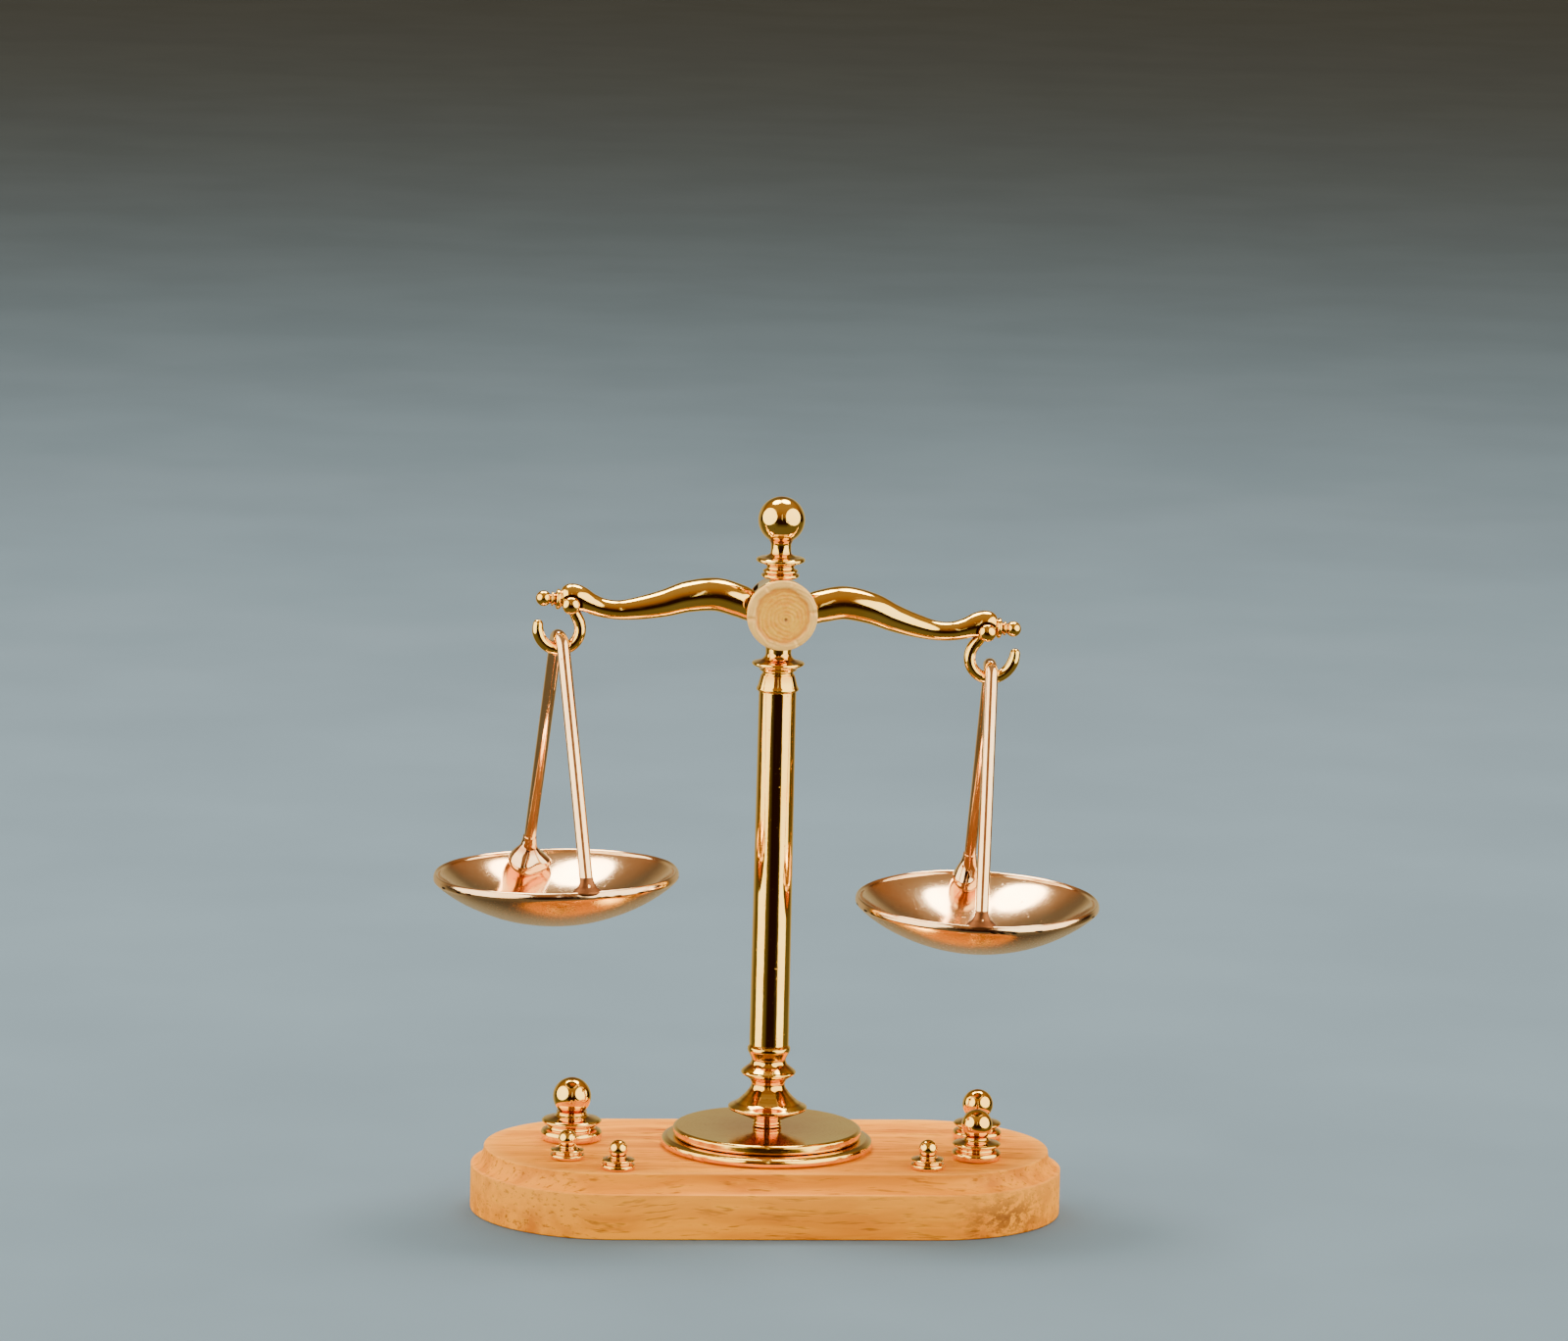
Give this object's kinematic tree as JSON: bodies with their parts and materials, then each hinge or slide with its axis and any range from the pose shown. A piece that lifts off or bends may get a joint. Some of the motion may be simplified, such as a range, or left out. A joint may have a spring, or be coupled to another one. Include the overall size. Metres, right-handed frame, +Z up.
{
  "type": "balance scale",
  "caption": "Miniature brass balance on a rounded wooden stand: rocking beam on a turned column, hooks, wire bails, shallow pans and lift-off brass weights.",
  "frame": {"origin": "middle of the board's underside, on the column's axis", "axes": "+Z up along the column, +X to the right along the beam, front faces -Y"},
  "size_m": [0.0562, 0.023, 0.0608],
  "materials": {
    "gold_brass": "polished, lacquered yellow brass",
    "matte_brass": "matte, freshly turned face",
    "rose_brass": "polished, copper-toned brass",
    "pale_wood": "sanded and clear waxed, fine straight grain",
    "steel": "plain turned steel"
  },
  "bodies": {
    "stand": {"wood_base": "pale_wood", "base_washer": "steel", "base_nut": "steel", "tie_rod": "steel", "foot_plate": "gold_brass", "foot_disc": "gold_brass", "column_foot": "gold_brass", "column_tube": "gold_brass", "column_capital": "gold_brass", "pivot_drum": "gold_brass", "pivot_pin": "steel", "front_cap": "matte_brass", "rear_cap": "gold_brass", "finial": "gold_brass"},
    "balance_beam": {"beam": "gold_brass", "beam_tip_left": "gold_brass", "beam_tip_right": "gold_brass", "eye_pin_left": "gold_brass", "eye_pin_right": "gold_brass"},
    "left_hook": {"hook_left": "gold_brass"},
    "right_hook": {"hook_right": "gold_brass"},
    "left_pan": {"bail_left": "rose_brass", "pan_left": "rose_brass", "front_lug_left": "rose_brass", "rear_lug_left": "rose_brass"},
    "right_pan": {"bail_right": "rose_brass", "pan_right": "rose_brass", "front_lug_right": "rose_brass", "rear_lug_right": "rose_brass"},
    "loose_weight_large": {"weight_large": "gold_brass"},
    "loose_weight_medium_front": {"weight_medium_front": "gold_brass"},
    "loose_weight_medium_rear": {"weight_medium_rear": "gold_brass"},
    "loose_weight_small_left": {"weight_small_left": "gold_brass"},
    "loose_weight_small_middle": {"weight_small_middle": "gold_brass"},
    "loose_weight_small_right": {"weight_small_right": "gold_brass"}
  },
  "joints": [
    {"name": "beam_rock", "type": "hinge", "parent": "stand", "child": "balance_beam", "pos_m": [0, 0, 0.0512], "axis": [0, 1, 0], "range_deg": [-9.2, 2.8]},
    {"name": "left_hook_swing", "type": "hinge", "parent": "balance_beam", "child": "left_hook", "pos_m": [-0.01751, 0, 0.05158], "axis": [0, 1, 0], "range_deg": [-3.5, 9.5]},
    {"name": "right_hook_swing", "type": "hinge", "parent": "balance_beam", "child": "right_hook", "pos_m": [0.01744, 0, 0.04962], "axis": [0, 1, 0], "range_deg": [-3.5, 9.5]},
    {"name": "left_pan_rock", "type": "hinge", "parent": "left_hook", "child": "left_pan", "pos_m": [-0.01842, 0, 0.04776], "axis": [1, 0, 0], "range_deg": [-12, 12]},
    {"name": "right_pan_rock", "type": "hinge", "parent": "right_hook", "child": "right_pan", "pos_m": [0.01786, 0, 0.04566], "axis": [1, 0, 0], "range_deg": [-12, 12]},
    {"name": "large_weight_lift", "type": "slide", "parent": "stand", "child": "loose_weight_large", "axis": [0, 0, 1], "range_m": [0, 0.008]},
    {"name": "medium_front_weight_lift", "type": "slide", "parent": "stand", "child": "loose_weight_medium_front", "axis": [0, 0, 1], "range_m": [0, 0.008]},
    {"name": "medium_rear_weight_lift", "type": "slide", "parent": "stand", "child": "loose_weight_medium_rear", "axis": [0, 0, 1], "range_m": [0, 0.008]},
    {"name": "small_left_weight_lift", "type": "slide", "parent": "stand", "child": "loose_weight_small_left", "axis": [0, 0, 1], "range_m": [0, 0.008]},
    {"name": "small_middle_weight_lift", "type": "slide", "parent": "stand", "child": "loose_weight_small_middle", "axis": [0, 0, 1], "range_m": [0, 0.008]},
    {"name": "small_right_weight_lift", "type": "slide", "parent": "stand", "child": "loose_weight_small_right", "axis": [0, 0, 1], "range_m": [0, 0.008]}
  ]
}
